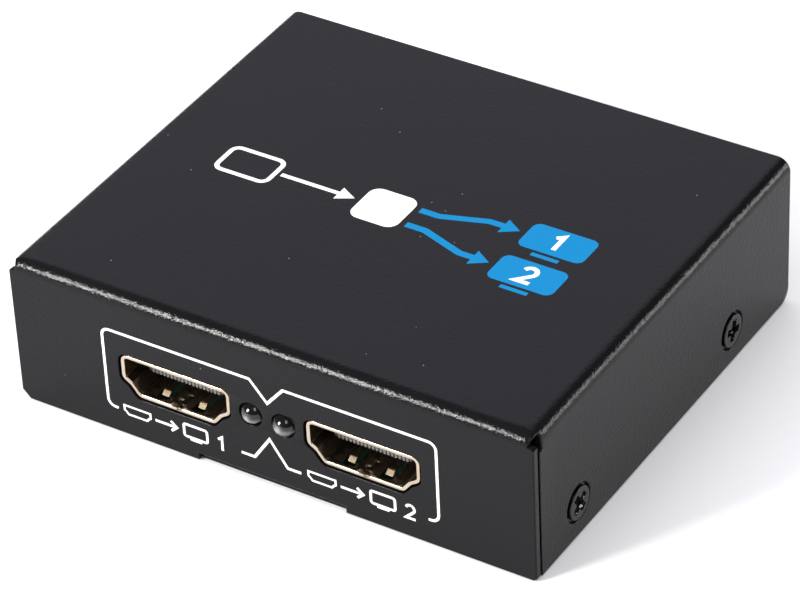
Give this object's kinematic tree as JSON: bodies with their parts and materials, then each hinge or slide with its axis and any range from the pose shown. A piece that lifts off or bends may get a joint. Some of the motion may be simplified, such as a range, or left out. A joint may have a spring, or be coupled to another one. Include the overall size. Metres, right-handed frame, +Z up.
{
  "type": "video splitter",
  "caption": "Low black folded-sheet box that repeats a digital video signal to output sockets in its front, with indicator lights and a rear power jack.",
  "frame": {"origin": "under the middle of the box, on the surface that it stands on", "axes": "+X along the front panel to the right as seen from the front, +Y from the front panel to the back, +Z up"},
  "size_m": [0.07, 0.0624, 0.0203],
  "materials": {
    "black_coat": "fine orange-peel powder coat, semi-matt black",
    "screw_black": "black oxide, satin",
    "gilt_shell": "pale gold flash on smooth steel, bright",
    "gilt_spring": "gold flash on spring steel, bright",
    "bright_metal": "tinned, satin",
    "can_metal": "drawn aluminium, satin",
    "moulded_black": "moulded, fine matt",
    "board_green": "solder mask, satin",
    "smoke_lens": "smoky clear resin, glossy",
    "ferrite_grey": "fired ferrite, matt",
    "resistor_black": "glazed film, satin",
    "ceramic_tan": "fired ceramic, satin"
  },
  "bodies": {
    "splitter": {"case_cover": "black_coat", "base_plate": "black_coat", "case_screws": "screw_black", "circuit_board": "board_green", "out_1_shell": "gilt_shell", "out_1_insulator": "moulded_black", "out_1_contacts": "bright_metal", "out_2_shell": "gilt_shell", "out_2_insulator": "moulded_black", "out_2_contacts": "bright_metal", "in_shell": "gilt_shell", "in_insulator": "moulded_black", "in_contacts": "bright_metal", "board_standoffs": "bright_metal", "board_screws": "bright_metal", "power_jack_pin": "bright_metal", "power_jack_terminals": "bright_metal", "led_1_leads": "bright_metal", "led_2_leads": "bright_metal", "splitter_chip_leads": "bright_metal", "memory_chip_leads": "bright_metal", "voltage_regulator_leads": "bright_metal", "clock_crystal": "bright_metal", "power_jack_housing": "moulded_black", "splitter_chip": "moulded_black", "memory_chips": "moulded_black", "voltage_regulator": "moulded_black", "power_capacitor_bases": "moulded_black", "input_diode": "moulded_black", "led_1_lens": "smoke_lens", "led_2_lens": "smoke_lens", "power_capacitors": "can_metal", "filter_coil": "ferrite_grey", "chip_resistors": "resistor_black", "chip_capacitors": "ceramic_tan"},
    "out_1_upper_springs_body": {"out_1_upper_springs": "gilt_spring"},
    "out_1_lower_springs_body": {"out_1_lower_springs": "gilt_spring"},
    "out_2_upper_springs_body": {"out_2_upper_springs": "gilt_spring"},
    "out_2_lower_springs_body": {"out_2_lower_springs": "gilt_spring"},
    "in_upper_springs_body": {"in_upper_springs": "gilt_spring"},
    "in_lower_springs_body": {"in_lower_springs": "gilt_spring"},
    "power_jack_spring_body": {"power_jack_spring": "gilt_spring"}
  },
  "joints": [
    {"name": "out_1_upper_springs_flex", "type": "hinge", "parent": "splitter", "child": "out_1_upper_springs_body", "pos_m": [-0.01265, -0.02238, 0.01142], "axis": [-1, 0, 0], "range_deg": [0, 3.5], "stiffness_Nm_per_rad": 0.12},
    {"name": "out_1_lower_springs_flex", "type": "hinge", "parent": "splitter", "child": "out_1_lower_springs_body", "pos_m": [-0.01265, -0.02238, 0.00658], "axis": [1, 0, 0], "range_deg": [0, 3.5], "stiffness_Nm_per_rad": 0.12},
    {"name": "out_2_upper_springs_flex", "type": "hinge", "parent": "splitter", "child": "out_2_upper_springs_body", "pos_m": [0.01265, -0.02238, 0.01142], "axis": [-1, 0, 0], "range_deg": [0, 3.5], "stiffness_Nm_per_rad": 0.12},
    {"name": "out_2_lower_springs_flex", "type": "hinge", "parent": "splitter", "child": "out_2_lower_springs_body", "pos_m": [0.01265, -0.02238, 0.00658], "axis": [1, 0, 0], "range_deg": [0, 3.5], "stiffness_Nm_per_rad": 0.12},
    {"name": "in_upper_springs_flex", "type": "hinge", "parent": "splitter", "child": "in_upper_springs_body", "pos_m": [-0.008, 0.02208, 0.01142], "axis": [1, 0, 0], "range_deg": [0, 3.5], "stiffness_Nm_per_rad": 0.12},
    {"name": "in_lower_springs_flex", "type": "hinge", "parent": "splitter", "child": "in_lower_springs_body", "pos_m": [-0.008, 0.02208, 0.00658], "axis": [-1, 0, 0], "range_deg": [0, 3.5], "stiffness_Nm_per_rad": 0.12},
    {"name": "power_jack_spring_flex", "type": "hinge", "parent": "splitter", "child": "power_jack_spring_body", "pos_m": [0.014, 0.02015, 0.00915], "axis": [-1, 0, 0], "range_deg": [0, 4.4], "stiffness_Nm_per_rad": 0.2}
  ]
}
